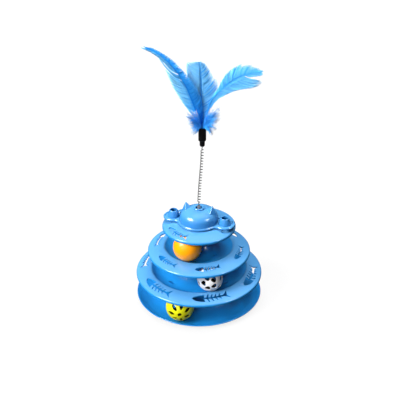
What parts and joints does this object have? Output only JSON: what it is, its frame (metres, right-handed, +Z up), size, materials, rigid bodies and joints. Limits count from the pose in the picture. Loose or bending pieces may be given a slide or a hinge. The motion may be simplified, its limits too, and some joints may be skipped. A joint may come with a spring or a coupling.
{
  "type": "cat turntable teaser",
  "caption": "Stacked ball-track cat toy: balls roll round open tiers below a spinning cat-head top with sockets and a sprung feather teaser.",
  "frame": {"origin": "on the table, on the axis of the tower", "axes": "+Z up along the tower's axis, -Y to the front, +X to the right"},
  "size_m": [0.18, 0.18, 0.3663],
  "materials": {
    "tier_blue": "glossy moulded plastic",
    "deep_blue": "glossy moulded plastic",
    "foot_rubber": "matt",
    "steel": "bright wire and fasteners",
    "black_plastic": "satin",
    "feather": "dyed feather",
    "yellow_plastic": "glossy moulded plastic",
    "white_plastic": "glossy moulded plastic",
    "orange_plastic": "glossy moulded plastic",
    "bell_brass": "polished"
  },
  "bodies": {
    "tower": {"base_tray": "deep_blue", "rubber_feet": "foot_rubber", "lower_tier": "tier_blue", "middle_tier": "tier_blue", "top_plate": "tier_blue"},
    "spinner": {"spinner_shell": "tier_blue", "spindle_washer": "steel", "spindle_screw": "steel", "socket_plug": "black_plastic", "spring_anchor": "steel"},
    "spring_body": {"spring": "steel"},
    "feather_head": {"spring_clamp": "black_plastic", "feather_sleeve": "black_plastic", "left_feather": "feather", "upright_feather": "feather", "right_feather": "feather", "left_down_plume": "feather", "right_down_plume": "feather", "back_down_plume": "feather"},
    "yellow_bell_body": {"yellow_bell": "bell_brass", "yellow_bell_pellet": "steel"},
    "yellow_ball": {"yellow_ball_front_half": "yellow_plastic", "yellow_ball_back_half": "yellow_plastic"},
    "white_bell_body": {"white_bell": "bell_brass", "white_bell_pellet": "steel"},
    "white_ball": {"white_ball_front_half": "white_plastic", "white_ball_back_half": "white_plastic"},
    "orange_ball": {"orange_ball_front_half": "orange_plastic", "orange_ball_back_half": "orange_plastic"}
  },
  "joints": [
    {"name": "spinner_spin", "type": "hinge", "parent": "tower", "child": "spinner", "pos_m": [0, 0, 0.11796], "axis": [0, 0, 1], "continuous": true},
    {"name": "teaser_side_sway", "type": "hinge", "parent": "spinner", "child": "spring_body", "pos_m": [0.00064, 0, 0.16666], "axis": [0, 1, 0], "range_deg": [-50, 50], "stiffness_Nm_per_rad": 0.06, "deforming": ["spring"]},
    {"name": "teaser_front_sway", "type": "hinge", "parent": "spring_body", "child": "feather_head", "pos_m": [0.00355, 0, 0.20966], "axis": [1, 0, 0], "range_deg": [-50, 50], "stiffness_Nm_per_rad": 0.06, "deforming": ["spring"]},
    {"name": "yellow_orbit", "type": "hinge", "parent": "tower", "child": "yellow_bell_body", "pos_m": [0, 0, 0.023], "axis": [0, 0, 1], "continuous": true},
    {"name": "yellow_roll", "type": "hinge", "parent": "yellow_bell_body", "child": "yellow_ball", "pos_m": [-0.02598, -0.06768, 0.023], "axis": [-0.3584, -0.9336, 0], "continuous": true},
    {"name": "white_orbit", "type": "hinge", "parent": "tower", "child": "white_bell_body", "pos_m": [0, 0, 0.05939], "axis": [0, 0, 1], "continuous": true},
    {"name": "white_roll", "type": "hinge", "parent": "white_bell_body", "child": "white_ball", "pos_m": [0.01516, -0.05287, 0.05939], "axis": [0.2756, -0.9613, 0], "continuous": true},
    {"name": "orange_orbit", "type": "hinge", "parent": "tower", "child": "orange_ball", "pos_m": [0, 0, 0.09593], "axis": [0, 0, 1], "continuous": true}
  ],
  "couplings": [
    {"joint": "yellow_roll", "follows": "yellow_orbit", "ratio": -3.7179},
    {"joint": "white_roll", "follows": "white_orbit", "ratio": -3.0899}
  ]
}
